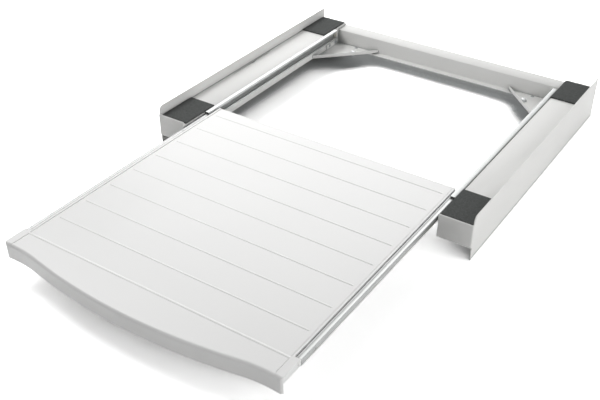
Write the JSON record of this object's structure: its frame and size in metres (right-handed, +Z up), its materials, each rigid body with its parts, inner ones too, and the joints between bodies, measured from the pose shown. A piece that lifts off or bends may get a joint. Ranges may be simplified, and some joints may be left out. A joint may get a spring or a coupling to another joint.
{
  "type": "washer dryer stacking frame",
  "caption": "White steel frame for standing a dryer on a washing machine, with charcoal corner pads and a white moulded shelf that pulls out on telescopic ball slides.",
  "frame": {"origin": "middle of the footprint with the shelf pulled out, at the bottom edges of the side plates", "axes": "+Z up, +Y to the back of the frame, so the shelf pulls out along -Y, and +X to the right as seen from the front"},
  "size_m": [0.604, 0.9616, 0.0785],
  "materials": {
    "white_powder_coat": "satin white powder coat",
    "white_moulded_plastic": "satin white moulded plastic",
    "charcoal_foam": "matt charcoal foam rubber with a fine grain",
    "zinc_plated_steel": "bright zinc plate",
    "bearing_steel": "smooth steel",
    "pale_nylon": "satin natural nylon"
  },
  "bodies": {
    "frame": {"side_plate_left": "white_powder_coat", "side_plate_right": "white_powder_coat", "side_channel_left": "white_powder_coat", "side_channel_right": "white_powder_coat", "rear_cross_member": "white_powder_coat", "corner_gusset_left": "white_powder_coat", "corner_gusset_right": "white_powder_coat", "gusset_wall_rivet_left_1": "zinc_plated_steel", "gusset_wall_rivet_left_2": "zinc_plated_steel", "gusset_wall_rivet_right_1": "zinc_plated_steel", "gusset_wall_rivet_right_2": "zinc_plated_steel", "gusset_toe_rivet_left": "zinc_plated_steel", "gusset_toe_rivet_right": "zinc_plated_steel", "clamp_screw_left": "zinc_plated_steel", "clamp_screw_right": "zinc_plated_steel", "top_pad_front_left": "charcoal_foam", "top_pad_front_right": "charcoal_foam", "top_pad_rear_left": "charcoal_foam", "top_pad_rear_right": "charcoal_foam", "bottom_pad_front_left": "charcoal_foam", "bottom_pad_front_right": "charcoal_foam", "bottom_pad_rear_left": "charcoal_foam", "bottom_pad_rear_right": "charcoal_foam", "slide_outer_left": "zinc_plated_steel", "slide_outer_right": "zinc_plated_steel", "slide_buffer_left": "pale_nylon", "slide_buffer_right": "pale_nylon", "slide_screw_left_1": "zinc_plated_steel", "slide_screw_left_2": "zinc_plated_steel", "slide_screw_left_3": "zinc_plated_steel", "slide_screw_right_1": "zinc_plated_steel", "slide_screw_right_2": "zinc_plated_steel", "slide_screw_right_3": "zinc_plated_steel"},
    "ball_cages": {"ball_cage_left": "bearing_steel", "ball_cage_right": "bearing_steel"},
    "shelf": {"shelf_tray": "white_moulded_plastic", "slide_runner_left": "zinc_plated_steel", "slide_runner_right": "zinc_plated_steel", "shelf_screw_left_1": "zinc_plated_steel", "shelf_screw_left_2": "zinc_plated_steel", "shelf_screw_left_3": "zinc_plated_steel", "shelf_screw_right_1": "zinc_plated_steel", "shelf_screw_right_2": "zinc_plated_steel", "shelf_screw_right_3": "zinc_plated_steel"}
  },
  "joints": [
    {"name": "shelf_slide", "type": "slide", "parent": "frame", "child": "shelf", "axis": [0, 1, 0], "range_m": [0, 0.4011]},
    {"name": "cage_slide", "type": "slide", "parent": "frame", "child": "ball_cages", "axis": [0, 1, 0], "range_m": [0, 0.20055]}
  ],
  "couplings": [
    {"joint": "cage_slide", "follows": "shelf_slide", "ratio": 0.5}
  ]
}
